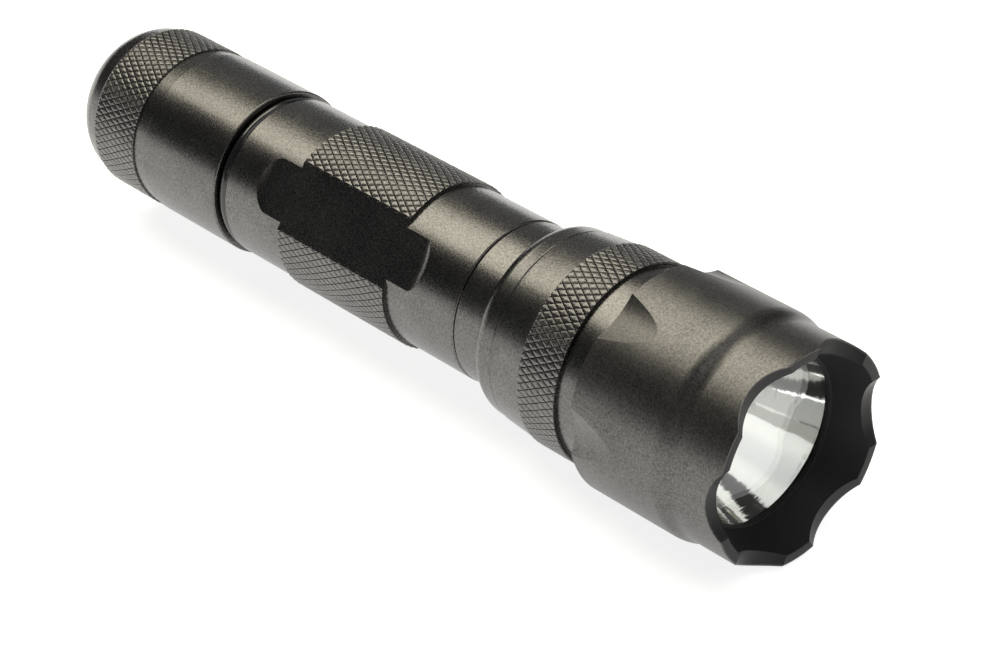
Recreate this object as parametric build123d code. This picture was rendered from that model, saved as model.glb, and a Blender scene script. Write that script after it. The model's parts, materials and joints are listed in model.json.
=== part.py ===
from build123d import *
from math import asin, atan2, cos, degrees, radians, sin, sqrt
import os

# Tactical flashlight: a slim metal torch with a drop-in light module and one 18650 cell.
# Units are millimetres. The beam shines along +X. The torch lies on its side, +Z is up.
# Stations along the torch are counted from the flat end of the tail cap, forwards.

# ---- tail cap ----
TAIL_FLAT_R = 7.6             # flat ring round the rubber button
TAIL_DOME_MID = (2.5, 10.5)
TAIL_DOME_END = (6.9, 12.35)
TAIL_BAND_END = (16.2, 12.55)  # band that carries the knurl
TAIL_CONE_R = 12.45           # small end of the cone in front of the band
CAP_LINE_X = 18.8
CAP_R = 12.7
CAP_RIM_X = 35.1
BROKEN_EDGE = 0.3

# ---- battery tube ----
SHOULDER_X = 37.0             # the seal shows between the cap's rim and this shoulder
TUBE_REAR_R = 12.2
TUBE_BAND_X = (49.3, 71.7)    # knurled band
TUBE_BAND_R = 12.4
TUBE_FRONT_R = 12.1
TUBE_END_X = 85.3             # seam between tube and head

# ---- head ----
NECK_R = 12.0
NECK_END_X = 90.6
BEAD_START = (90.9, 12.9)     # rounded bead of the flange
BEAD_MID = (91.7, 13.75)
BEAD_END = (93.2, 14.15)
STEP_X = 94.9                 # thin step on the flange
STEP_DROP = 0.15
COLLAR_R = 14.4
HEAD_BAND_X = (100.8, 107.7)  # knurled band
COLLAR_FRONT_R = 14.85
HEAD_BAND_R = 14.75
FRONT_NECK_R = 14.45          # neck in front of the band
SEAT_X = 112.0                # the bezel's rear face seats on the neck's end

# ---- bezel ----
BEZEL_R = 16.55
STEP_CONE_X = (127.4, 129.3)  # short cone down to the front ring
RING_R = 15.85
CREST_X = 137.3               # plane of the crown's crests
MOUTH_R = 14.4                # mouth at the crests
MOUTH_ROOT = (131.6, 12.4)    # small end of the mouth cone
LIP_R = 12.1                  # lip in front of the lens
LENS_FRONT_X = 130.8

# ---- crown, flutes and milled flats ----
CROWN_COUNT = 6
CROWN_ROLL = 32.0             # first notch, degrees from +Z towards -Y
NOTCH_R = 8.0
NOTCH_DEPTH = 1.95
FLUTE_R = 11.0                # cutter of the arched flutes at the back of the bezel
FLUTE_LENGTH = 7.6
FLUTE_SLOPE = 8.4             # degrees
FLAT_ROLL = 58.5              # middle of the first milled flat
FLAT_HEIGHT = 11.46           # from the torch's axis
FLAT_X = (43.5, 77.3)
FLAT_CUTTER_R = 6.35

# ---- cell and bore ----
CELL_R = 9.2
CELL_X = (23.0, 88.2)
CELL_GROOVE = (85.2, 0.35)    # rolled groove near the positive end, station and depth
WRAP = 0.15
CELL_TOP_R = 4.0
CELL_TOP_X = 89.9
BORE_R = 9.5
TUBE_START_X = 18.5

# ---- threads, as plain running fits ----
FIT = 0.08
TAIL_THREAD_R = 11.4
HEAD_THREAD_R = 11.0
HEAD_STUB_X = 95.0
BEZEL_THREAD_R = 14.1
BEZEL_STUB_X = 122.0
SEAM = 0.06

# ---- seals ----
GAP_SEAL = (36.05, 11.2, 0.85)    # station, ring radius, section radius
HEAD_SEAL = (87.6, 10.45, 0.5)
BEZEL_SEAL = (114.4, 13.55, 0.5)
LENS_SEAL = (128.3, 13.5, 0.45)

# ---- lens and light module ----
LENS_R = 14.0
LENS_T = 2.0
REFLECTOR_FRONT_X = 128.72
FLANGE_X = (126.0, 127.7)
FLANGE_R = 13.6
RIM_R = 12.9
APERTURE_R = 12.3
FOCAL = 1.776
VERTEX_X = 107.5
LED_HOLE_R = 3.6
NECK_THREAD_R = 8.9
NECK_BOTTOM_X = 108.7
PILL_R = 10.2
PILL_X = (96.0, 113.3)
PILL_DECK_X = (104.6, 107.1)
PILL_BORE_R = 9.0
DRIVER_BORE_R = 8.6
BOARD_R = 8.5
BOARD_T = 1.5
LED_SIDE = 3.5
LED_T = 0.6
LED_DOME_R = 1.6
LEAD_R = 0.5
LEAD_OFFSET = 6.2
MODULE_SPRING_R = 11.2
MODULE_WIRE_R = 0.5
MODULE_SPRING_X = (95.05, 119.9)  # from the tube's end to the cone of the reflector
HEAD_BORE_R = 12.3

# ---- switch in the tail ----
BOOT_HOLE_R = 6.6
BOOT_R = 6.5
BOOT_SEAT_X = 3.0
BOOT_TOP_X = -1.4
BOOT_DOME = 1.6               # height of the rounded top
BOOT_WALL = 1.1
BOOT_FLANGE_X = 4.2
CAVITY_R = 9.2
SWITCH_X = (5.3, 12.2)
SWITCH_R = 8.0
PLUNGER_R = 2.6
PLUNGER_HEAD_R = 4.0
PLUNGER_HEAD_X = (7.35, 8.35)
SWITCH_BOARD_X = (12.25, 13.4)
LOCK_RING_X = (13.45, 16.0)
LOCK_RING_BORE_R = 6.6
SPANNER_SLOT = 1.6
TAIL_SPRING_R = (5.4, 3.2)
WIRE_R = 0.45

X_MID = (BOOT_TOP_X + CREST_X) / 2
PLACE = Pos(-X_MID, 0, BEZEL_R)


def turned(*corners):
    """Solid of revolution about the torch's axis, from a closed outline of (x, r) corners."""
    outline = Polyline(*corners, close=True)
    return revolve(Plane.XZ * make_face(outline), axis=Axis.X)


def ring(stations, r_out, r_in):
    """Plain ring or tube between two stations."""
    start, end = stations
    return turned((start, r_in), (end, r_in), (end, r_out), (start, r_out))


def disc(stations, r):
    """Plain round disc or rod between two stations."""
    start, end = stations
    return turned((start, 0), (end, 0), (end, r), (start, r))


def seal(x, ring_r, section_r):
    """O-ring with its round section centred at station x and radius ring_r."""
    return Pos(x, 0, 0) * Rot(0, 90, 0) * Torus(ring_r, section_r)


def hidden_seal(x, ring_r, section_r):
    """O-ring shut in a groove, with an eight-sided section, because nothing shows it."""
    section = Plane.XZ * Pos(x, ring_r) * RegularPolygon(section_r, 8)
    return revolve(section, axis=Axis.X)


def coil(start, end, r_start, r_end, wire_r, turns):
    """Spring between two stations, straight or conical, with a six-sided wire."""
    height = end - start - 2 * wire_r
    lean = -degrees(atan2(r_start - r_end, height))
    path = Helix(pitch=height / turns, height=height, radius=r_start, cone_angle=lean)
    section = Plane(origin=path @ 0, z_dir=path % 0) * RegularPolygon(wire_r, 6)
    spring = sweep(section, path=path, is_frenet=True)
    return Pos(start + wire_r, 0, 0) * Rot(0, 90, 0) * spring


def around(cutter, first_roll, count):
    """Copies of a cutter made above the axis, spaced evenly round the torch."""
    step = 360 / count
    return [Rot(first_roll + step * i, 0, 0) * cutter for i in range(count)]


# ---------------------------------------------------------------- tail cap and switch

def tail_cap():
    """Domed tail cap: button hole, switch cavity and thread bore in one turned piece."""
    end_x, end_r = TAIL_DOME_END
    band_x, band_r = TAIL_BAND_END
    dome = ThreePointArc((0, TAIL_FLAT_R), TAIL_DOME_MID, TAIL_DOME_END)
    outline = dome + Polyline(
        TAIL_DOME_END,
        (band_x, band_r),
        (band_x, TAIL_CONE_R),
        (CAP_LINE_X, CAP_R),
        (CAP_RIM_X - BROKEN_EDGE, CAP_R),
        (CAP_RIM_X, CAP_R - BROKEN_EDGE),
        (CAP_RIM_X, TAIL_THREAD_R + FIT),
        (TUBE_START_X - 1, TAIL_THREAD_R + FIT),
        (TUBE_START_X - 1, CAVITY_R),
        (BOOT_SEAT_X, CAVITY_R),
        (BOOT_SEAT_X, BOOT_HOLE_R),
        (0, BOOT_HOLE_R),
        (0, TAIL_FLAT_R),
    )
    return revolve(Plane.XZ * make_face(outline), axis=Axis.X)


def dome_arc(top_x, height, r):
    """Arc of a round dome, from its top on the axis out to its rim."""
    sphere_r = (r ** 2 + height ** 2) / (2 * height)
    half = asin(r / sphere_r) / 2
    middle = (top_x + sphere_r * (1 - cos(half)), sphere_r * sin(half))
    return ThreePointArc((top_x, 0), middle, (top_x + height, r))


def switch_boot():
    """Rubber button: a hollow dome with a flange behind the cap's end wall."""
    inner_top = BOOT_TOP_X + BOOT_WALL
    inner_r = BOOT_R - BOOT_WALL
    inner_height = BOOT_DOME * 0.8
    outer = dome_arc(BOOT_TOP_X, BOOT_DOME, BOOT_R)
    inner = dome_arc(inner_top, inner_height, inner_r)
    wall = Polyline(
        (BOOT_TOP_X + BOOT_DOME, BOOT_R),
        (BOOT_SEAT_X, BOOT_R),
        (BOOT_SEAT_X, CAVITY_R - 0.1),
        (BOOT_FLANGE_X, CAVITY_R - 0.1),
        (BOOT_FLANGE_X, inner_r),
        (inner_top + inner_height, inner_r),
    )
    top = Line((BOOT_TOP_X, 0), (inner_top, 0))
    return revolve(Plane.XZ * make_face(outer + wall + inner + top), axis=Axis.X)


def switch_housing():
    """Click switch body with a guide bore for its plunger and a flange on the board side."""
    start, end = SWITCH_X
    guide_r = PLUNGER_R + 0.1
    guide_end = PLUNGER_HEAD_X[0] - 0.05
    room_r = PLUNGER_HEAD_R + 0.3
    flange_r = SWITCH_R + 0.8
    return turned(
        (start, guide_r), (guide_end, guide_r), (guide_end, room_r), (end - 0.8, room_r),
        (end - 0.8, 0), (end, 0), (end, flange_r), (end - 1.4, flange_r),
        (end - 1.4, SWITCH_R), (start + 0.5, SWITCH_R), (start, SWITCH_R - 0.5))


def switch_plunger():
    """Plunger under the rubber, with a head that the housing keeps in."""
    top = BOOT_TOP_X + BOOT_WALL + 0.25
    head_start, head_end = PLUNGER_HEAD_X
    return turned(
        (top, 0), (top, PLUNGER_R - 0.5), (top + 0.4, PLUNGER_R), (head_start, PLUNGER_R),
        (head_start, PLUNGER_HEAD_R), (head_end, PLUNGER_HEAD_R), (head_end, 0))


def switch_spring():
    """Return spring between the plunger's head and the floor of the housing."""
    return coil(PLUNGER_HEAD_X[1] + 0.02, SWITCH_X[1] - 0.82, 3.0, 3.0, 0.25, 2.5)


def lock_ring():
    """Threaded ring that holds the switch in, with two slots for a pin spanner."""
    outer_r = CAVITY_R - 0.05
    body = ring(LOCK_RING_X, outer_r, LOCK_RING_BORE_R)
    depth = 1.2
    slot_x = LOCK_RING_X[1] - depth / 2
    slot = Pos(slot_x, 0, (outer_r + LOCK_RING_BORE_R) / 2) * Box(depth, SPANNER_SLOT, 5)
    return body - around(slot, 0, 2)


# ---------------------------------------------------------------- tube and cell

def flat_cutters():
    """Two opposite slots of the milling cutter: flat floor, round ends."""
    start, end = FLAT_X
    length = end - start
    middle = (start + end) / 2
    slot = extrude(SlotOverall(length, 2 * FLAT_CUTTER_R), amount=5)
    return around(Pos(middle, 0, FLAT_HEIGHT) * slot, FLAT_ROLL, 2)


def battery_tube():
    """Thick tube with a knurl band, two milled flats, a seal groove and a thread at each end."""
    groove_r = GAP_SEAL[1] - GAP_SEAL[2] - 0.05
    head_x, head_r, head_section = HEAD_SEAL
    head_groove_r = head_r - head_section - 0.05
    band_start, band_end = TUBE_BAND_X
    body = turned(
        (TUBE_START_X, BORE_R),
        (TUBE_START_X, TAIL_THREAD_R - BROKEN_EDGE),
        (TUBE_START_X + BROKEN_EDGE, TAIL_THREAD_R),
        (CAP_RIM_X - 0.05, TAIL_THREAD_R),
        (CAP_RIM_X - 0.05, groove_r),
        (SHOULDER_X, groove_r),
        (SHOULDER_X, TUBE_REAR_R - BROKEN_EDGE),
        (SHOULDER_X + BROKEN_EDGE, TUBE_REAR_R),
        (band_start, TUBE_REAR_R),
        (band_start, TUBE_BAND_R),
        (band_end, TUBE_BAND_R),
        (band_end, TUBE_FRONT_R),
        (TUBE_END_X - BROKEN_EDGE, TUBE_FRONT_R),
        (TUBE_END_X, TUBE_FRONT_R - BROKEN_EDGE),
        (TUBE_END_X, HEAD_THREAD_R),
        (head_x - 0.6, HEAD_THREAD_R),
        (head_x - 0.6, head_groove_r),
        (head_x + 0.6, head_groove_r),
        (head_x + 0.6, HEAD_THREAD_R),
        (HEAD_STUB_X - BROKEN_EDGE, HEAD_THREAD_R),
        (HEAD_STUB_X, HEAD_THREAD_R - BROKEN_EDGE),
        (HEAD_STUB_X, BORE_R),
    )
    return body - flat_cutters()


def cell_can():
    """Steel can of the cell, with the rolled groove near its positive end."""
    start, end = CELL_X
    r = CELL_R - WRAP
    groove_x, depth = CELL_GROOVE
    return turned(
        (start, 0), (end, 0), (end, r - 1.2), (end - 0.6, r - 0.6), (end - 0.6, r),
        (groove_x + 0.8, r), (groove_x, r - depth), (groove_x - 0.8, r), (start, r))


def cell_wrap():
    """Shrink sleeve of the cell, turned in over both ends."""
    start, end = CELL_X
    r = CELL_R - WRAP
    lap = 1.4
    return turned(
        (start - 0.1, r - lap), (start - 0.1, CELL_R), (end, CELL_R), (end + 0.1, r - lap),
        (end, r - lap), (end, r - 1.2), (end - 0.6, r - 0.6), (end - 0.6, r), (start, r), (start, r - lap))


def cell_button():
    """Raised positive contact of the cell."""
    return turned(
        (CELL_X[1], 0), (CELL_X[1], CELL_TOP_R), (CELL_TOP_X - 0.3, CELL_TOP_R - 0.2),
        (CELL_TOP_X, CELL_TOP_R - 0.6), (CELL_TOP_X, 0))


# ---------------------------------------------------------------- light module

def mirror_r(x):
    """Radius of the paraboloid at a station."""
    return sqrt(4 * FOCAL * (x - VERTEX_X))


def reflector():
    """Parabolic reflector with a front rim, a flange and a neck that screws into the pill."""
    hole_x = VERTEX_X + LED_HOLE_R ** 2 / (4 * FOCAL)
    steps = 10
    inner = []
    for i in range(steps + 1):
        r = LED_HOLE_R + (APERTURE_R - LED_HOLE_R) * i / steps
        inner.append((VERTEX_X + r ** 2 / (4 * FOCAL), r))
    mirror = Spline(*inner)
    lip_x = inner[-1][0]
    outline = mirror + Polyline(
        (lip_x, APERTURE_R),
        (REFLECTOR_FRONT_X, APERTURE_R),
        (REFLECTOR_FRONT_X, RIM_R),
        (FLANGE_X[1], RIM_R),
        (FLANGE_X[1], FLANGE_R),
        (FLANGE_X[0], FLANGE_R),
        (FLANGE_X[0] - 0.6, APERTURE_R + 0.1),
        (PILL_X[1] + 0.1, NECK_THREAD_R),
        (NECK_BOTTOM_X, NECK_THREAD_R),
        (NECK_BOTTOM_X, LED_HOLE_R),
        (hole_x, LED_HOLE_R),
    )
    return revolve(Plane.XZ * make_face(outline), axis=Axis.X)


def pill():
    """Brass pill: driver cup behind, deck for the board, threaded cup in front."""
    start, end = PILL_X
    deck_rear, deck_front = PILL_DECK_X
    body = turned(
        (start, DRIVER_BORE_R), (start, PILL_R), (end, PILL_R), (end, PILL_BORE_R),
        (deck_front, PILL_BORE_R), (deck_front, 0), (deck_rear, 0), (deck_rear, DRIVER_BORE_R))
    hole = Pos((deck_rear + deck_front) / 2, 0, LEAD_OFFSET) * Rot(0, 90, 0) * Cylinder(1.0, 4)
    return body - around(hole, 0, 2)


def led_leads():
    """Two insulated leads from the driver to the board, through the deck."""
    start = PILL_X[0] + 2.0 + 0.02
    end = PILL_DECK_X[1] - 0.02
    lead = Pos((start + end) / 2, 0, LEAD_OFFSET) * Rot(0, 90, 0) * Cylinder(LEAD_R, end - start)
    return Compound(children=around(lead, 0, 2))


def led_base():
    """Square ceramic base of the emitter."""
    front = PILL_DECK_X[1] + BOARD_T + LED_T
    return Pos(front - LED_T / 2, 0, 0) * Box(LED_T, LED_SIDE, LED_SIDE)


def led_dome():
    """Clear silicone dome over the emitter."""
    base_x = PILL_DECK_X[1] + BOARD_T + LED_T
    cap = Sphere(LED_DOME_R) & Pos(LED_DOME_R, 0, 0) * Box(2 * LED_DOME_R, 4 * LED_DOME_R, 4 * LED_DOME_R)
    return Pos(base_x, 0, 0) * cap


def driver_board():
    """Round driver board at the back of the pill."""
    return disc((PILL_X[0] + 0.8, PILL_X[0] + 2.0), BOARD_R)


def driver_parts():
    """Chips and the coil on the front of the driver board."""
    x = PILL_X[0] + 2.0
    inductor = disc((x, x + 2.6), 2.6)
    chip = Pos(x + 0.75, 4.9, 1.5) * Box(1.5, 3.0, 4.0)
    block = Pos(x + 0.6, -4.9, -1.5) * Box(1.2, 2.6, 3.2)
    return Compound(children=[inductor, chip, block])


# ---------------------------------------------------------------- head, bezel and lens

def head():
    """Head: rear neck, rounded flange, knurl band, front neck and bezel thread."""
    band_start, band_end = HEAD_BAND_X
    seal_x, seal_r, section_r = BEZEL_SEAL
    groove_r = seal_r - section_r - 0.05
    rear = TUBE_END_X + SEAM
    inner_r = HEAD_THREAD_R + FIT
    bead = ThreePointArc(BEAD_START, BEAD_MID, BEAD_END)
    rest = Polyline(
        BEAD_END,
        (STEP_X, BEAD_END[1] + STEP_DROP),
        (STEP_X, BEAD_END[1]),
        (STEP_X + 0.25, COLLAR_R),
        (band_start, COLLAR_FRONT_R),
        (band_start, HEAD_BAND_R),
        (band_end, HEAD_BAND_R),
        (band_end, FRONT_NECK_R),
        (SEAT_X, FRONT_NECK_R),
        (SEAT_X, BEZEL_THREAD_R),
        (seal_x - 0.6, BEZEL_THREAD_R),
        (seal_x - 0.6, groove_r),
        (seal_x + 0.6, groove_r),
        (seal_x + 0.6, BEZEL_THREAD_R),
        (BEZEL_STUB_X - BROKEN_EDGE, BEZEL_THREAD_R),
        (BEZEL_STUB_X, BEZEL_THREAD_R - BROKEN_EDGE),
        (BEZEL_STUB_X, HEAD_BORE_R),
        (HEAD_STUB_X - 0.5, HEAD_BORE_R),
        (HEAD_STUB_X - 0.5, inner_r),
        (rear, inner_r),
        (rear, NECK_R - BROKEN_EDGE),
        (rear + BROKEN_EDGE, NECK_R),
        (NECK_END_X, NECK_R),
        BEAD_START,
    )
    return revolve(Plane.XZ * make_face(bead + rest), axis=Axis.X)


def crown_notches():
    """Round cutters pointing at the axis that leave the crests of the crown."""
    x = CREST_X + NOTCH_R - NOTCH_DEPTH
    cutter = Pos(x, 0, 14) * Cylinder(NOTCH_R, 16)
    return around(cutter, CROWN_ROLL, CROWN_COUNT)


def flute_cutters():
    """Leaning round cutters that leave an arched flute at the back edge of the bezel."""
    tip_x = SEAT_X + FLUTE_LENGTH
    cutter = Rot(0, 90, 0) * Cylinder(FLUTE_R, 40)
    lift = BEZEL_R + FLUTE_R / cos(radians(FLUTE_SLOPE))
    leaning = Pos(tip_x, 0, lift) * Rot(0, -FLUTE_SLOPE, 0) * cutter
    return around(leaning, CROWN_ROLL, CROWN_COUNT)


def bezel():
    """Bezel: turned shell with a lens lip and mouth cone, then the crown and flutes milled in."""
    rear = SEAT_X + SEAM
    bore_r = BEZEL_THREAD_R + FIT
    cone_start, cone_end = STEP_CONE_X
    shell = turned(
        (rear, bore_r),
        (rear, BEZEL_R),
        (cone_start, BEZEL_R),
        (cone_end, RING_R),
        (CREST_X, RING_R),
        (CREST_X, MOUTH_R),
        MOUTH_ROOT,
        (MOUTH_ROOT[0], LIP_R),
        (LENS_FRONT_X, LIP_R),
        (LENS_FRONT_X, bore_r),
    )
    return shell - crown_notches() - flute_cutters()


# ---------------------------------------------------------------- assembly

def build_parts():
    """Every piece of the torch, by name."""
    deck_front = PILL_DECK_X[1]
    board = (deck_front, deck_front + BOARD_T)
    driver_rear = PILL_X[0] + 0.8
    return {
        "tail_cap": tail_cap(),
        "switch_boot": switch_boot(),
        "boot_washer": ring((BOOT_FLANGE_X, SWITCH_X[0] - 0.02), CAVITY_R - 0.1, SWITCH_R - 1.5),
        "switch_housing": switch_housing(),
        "switch_plunger": switch_plunger(),
        "switch_spring": switch_spring(),
        "switch_board": disc(SWITCH_BOARD_X, CAVITY_R - 0.1),
        "switch_lock_ring": lock_ring(),
        "tail_spring": coil(SWITCH_BOARD_X[1] + 0.02, CELL_X[0] - 0.15, *TAIL_SPRING_R, WIRE_R, 4.5),
        "tail_seal": seal(*GAP_SEAL),
        "battery_tube": battery_tube(),
        "head_seal": hidden_seal(*HEAD_SEAL),
        "cell_can": cell_can(),
        "cell_wrap": cell_wrap(),
        "cell_button": cell_button(),
        "cell_insulator": ring((CELL_X[1], CELL_X[1] + 0.3), CELL_R - WRAP - 1.5, CELL_TOP_R + 0.1),
        "driver_spring": coil(CELL_TOP_X + 0.05, driver_rear - 0.02, 2.4, 4.6, WIRE_R, 3.5),
        "driver_board": driver_board(),
        "driver_parts": driver_parts(),
        "pill": pill(),
        "led_leads": led_leads(),
        "led_board": disc(board, BOARD_R),
        "led_base": led_base(),
        "led_dome": led_dome(),
        "reflector": reflector(),
        "module_spring": coil(*MODULE_SPRING_X, MODULE_SPRING_R, MODULE_SPRING_R, MODULE_WIRE_R, 5),
        "head": head(),
        "bezel_seal": hidden_seal(*BEZEL_SEAL),
        "lens": disc((LENS_FRONT_X - LENS_T, LENS_FRONT_X), LENS_R),
        "lens_seal": hidden_seal(*LENS_SEAL),
        "bezel": bezel(),
    }


def write_parts():
    """Place every piece in the torch's frame and write one STEP file each."""
    os.makedirs("parts", exist_ok=True)
    for name, shape in build_parts().items():
        export_step(PLACE * shape, f"parts/{name}.step")


write_parts()
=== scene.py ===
"""Visual model of a slim tactical flashlight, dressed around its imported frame.

The torch lies along +X and its beam shines towards +X. Sizes are in millimetres. A station is a
distance forward of the flat end of the tail cap. A roll is an angle about the axis, from straight
up towards -Y.
"""
import json
import logging
from cmath import phase, rect
from dataclasses import dataclass, field
from enum import Enum
from math import ceil, cos, pi, radians, sin, sqrt
from typing import Any, Mapping, Sequence

import bmesh
import bpy
from bmesh.types import BMEdge, BMesh, BMVert
from bpy.types import Material, Node, NodeSocket, Object
from mathutils import Matrix, Quaternion, Vector


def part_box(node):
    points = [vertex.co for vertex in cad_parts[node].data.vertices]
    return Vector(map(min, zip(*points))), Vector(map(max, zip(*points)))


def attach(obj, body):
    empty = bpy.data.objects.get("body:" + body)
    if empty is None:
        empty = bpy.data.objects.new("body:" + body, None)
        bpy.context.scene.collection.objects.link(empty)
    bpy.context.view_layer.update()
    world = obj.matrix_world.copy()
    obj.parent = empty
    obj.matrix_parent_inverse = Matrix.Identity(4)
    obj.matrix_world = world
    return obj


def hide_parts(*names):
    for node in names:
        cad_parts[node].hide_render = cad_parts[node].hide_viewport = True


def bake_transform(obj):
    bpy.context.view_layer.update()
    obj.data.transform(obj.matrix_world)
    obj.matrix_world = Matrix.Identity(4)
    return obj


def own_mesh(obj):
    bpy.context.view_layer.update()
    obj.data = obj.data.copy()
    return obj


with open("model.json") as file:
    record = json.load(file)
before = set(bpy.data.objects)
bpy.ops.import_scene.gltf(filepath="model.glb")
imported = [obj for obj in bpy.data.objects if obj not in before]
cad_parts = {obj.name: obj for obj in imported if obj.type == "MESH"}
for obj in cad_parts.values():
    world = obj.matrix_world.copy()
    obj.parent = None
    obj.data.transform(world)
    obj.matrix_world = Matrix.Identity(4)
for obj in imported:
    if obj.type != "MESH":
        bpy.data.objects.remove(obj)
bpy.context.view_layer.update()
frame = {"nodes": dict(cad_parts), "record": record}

MM = 0.001
TAIL_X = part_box("tail_cap")[0].x
AXIS_Z = (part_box("battery_tube")[0].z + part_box("battery_tube")[1].z) / 2
TO_ROW = Matrix.Translation((TAIL_X, 0, AXIS_Z)) @ Matrix.Scale(MM, 4)
AXIS = Vector((1, 0, 0))
ROUND_STEPS = 12        # facets of a rounded corner
WELD = 1e-4             # corners closer than this are one
ON_PLANE = 1e-5         # corners closer than this to a cutting plane lie on it
FACETED = 0.01          # edges that turn by more degrees are sharp on an unsmoothed piece
LOG = logging.getLogger("torch")

Point = tuple[float, float]             # station and radius
Span = tuple[float, float]              # two stations
Groove = tuple[float, float, float]     # two stations and a radius
Outline = Sequence[tuple[float, ...]]
Colour = tuple[float, float, float]


class Body(Enum):
    """Bodies of the frame that the pieces ride on."""

    TUBE = "tube"
    TAIL_CAP = "tail_cap"
    MODULE = "module"
    HEAD = "head"
    LENS = "lens"
    BEZEL = "bezel"


# ---------- shader tools

class Num:
    """Number carried by a shader socket. Arithmetic on it adds Math nodes."""

    def __init__(self, shade: "Shade", socket: NodeSocket) -> None:
        """Wrap a socket of a shade's node tree."""
        self.shade = shade
        self.socket = socket

    def __add__(self, other: "Num | float") -> "Num":
        """Sum."""
        return self.shade.maths("ADD", self, other)

    __radd__ = __add__

    def __mul__(self, other: "Num | float") -> "Num":
        """Product."""
        return self.shade.maths("MULTIPLY", self, other)

    __rmul__ = __mul__

    def __sub__(self, other: "Num | float") -> "Num":
        """Difference."""
        return self.shade.maths("SUBTRACT", self, other)

    def __rsub__(self, other: "Num | float") -> "Num":
        """Difference with this number taken away."""
        return self.shade.maths("SUBTRACT", other, self)

    def clamped(self) -> "Num":
        """The number held between 0 and 1."""
        return self.shade.maths("ADD", self, 0.0, clamp=True)


class Shade:
    """Node tree of one material, with a Principled shader as its surface."""

    MIX_FIRST, MIX_SECOND, MIX_COLOUR = 6, 7, 2     # colour sockets of a Mix node

    def __init__(self, name: str) -> None:
        """Start an empty material.

        Args:
            name: Name of the material.
        """
        self.material = bpy.data.materials.new(name)
        self.material.use_nodes = True
        self.tree = self.material.node_tree
        self.tree.nodes.clear()

    def node(self, kind: str, settings: Mapping[str, Any] | None = None,
             inputs: Mapping[str | int, Any] | None = None) -> Node:
        """Add a node.

        Args:
            kind: Type of the node.
            settings: Properties, set before the inputs.
            inputs: Values or links of its sockets, by name or index.

        Returns:
            The new node.
        """
        made = self.tree.nodes.new(kind)
        for key, value in (settings or {}).items():
            setattr(made, key, value)
        for key, value in (inputs or {}).items():
            source = value.socket if isinstance(value, Num) else value
            if isinstance(source, NodeSocket):
                self.tree.links.new(source, made.inputs[key])
            else:
                made.inputs[key].default_value = source
        return made

    def maths(self, operation: str, *values: "Num | float", clamp: bool = False) -> Num:
        """Result of a Math node, held between 0 and 1 if asked."""
        made = self.node("ShaderNodeMath", {"operation": operation, "use_clamp": clamp},
                         dict(enumerate(values)))
        return Num(self, made.outputs[0])

    def place(self) -> NodeSocket:
        """Place on the piece, in millimetres of the frame."""
        coords = self.node("ShaderNodeTexCoord").outputs["Object"]
        return self.node("ShaderNodeVectorMath", {"operation": "SCALE"},
                         {0: coords, "Scale": 1 / MM}).outputs[0]

    def noise(self, size: float, detail: float = 2.0, roughness: float = 0.5,
              stretch: tuple[float, float, float] = (1, 1, 1)) -> Num:
        """Noise with blobs of about the given size.

        Args:
            size: Size of a blob, in millimetres.
            detail: Octaves.
            roughness: Share of the finer octaves.
            stretch: Scale of the pattern along X, Y and Z.

        Returns:
            The noise, from 0 to 1.
        """
        spread = self.node("ShaderNodeMapping", inputs={"Vector": self.place(), "Scale": stretch})
        made = self.node("ShaderNodeTexNoise", inputs={
            "Vector": spread.outputs[0], "Scale": 1 / size, "Detail": detail,
            "Roughness": roughness})
        return Num(self, made.outputs[0])

    def between(self, factor: Num, low: Colour | NodeSocket,
                high: Colour) -> NodeSocket:
        """Mix two colours.

        Args:
            factor: Share of the second colour, from 0 to 1.
            low: First colour, or a socket that gives one.
            high: Second colour.

        Returns:
            The mixed colour.
        """
        first = low if isinstance(low, NodeSocket) else (*low, 1.0)
        made = self.node("ShaderNodeMix", {"data_type": "RGBA"}, {
            "Factor": factor, self.MIX_FIRST: first, self.MIX_SECOND: (*high, 1.0)})
        return made.outputs[self.MIX_COLOUR]

    def dulled(self, factor: Num, colour: Colour, share: float) -> NodeSocket:
        """A colour that falls to a share of itself where the factor is 0."""
        return self.between(factor, tuple(part * share for part in colour), colour)

    def bump(self, height: Num, depth: float) -> NodeSocket:
        """Normal bent by a height from 0 to 1, over a depth in millimetres."""
        return self.node("ShaderNodeBump", inputs={
            "Strength": 1.0, "Distance": depth * MM, "Height": height}).outputs[0]

    def surface(self, inputs: Mapping[str, Any]) -> Material:
        """Close the tree with a Principled shader.

        Args:
            inputs: Values or links of the shader's sockets.

        Returns:
            The finished material.
        """
        shader = self.node("ShaderNodeBsdfPrincipled", inputs=inputs)
        self.node("ShaderNodeOutputMaterial", inputs={"Surface": shader.outputs[0]})
        return self.material


# ---------- finishes

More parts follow.
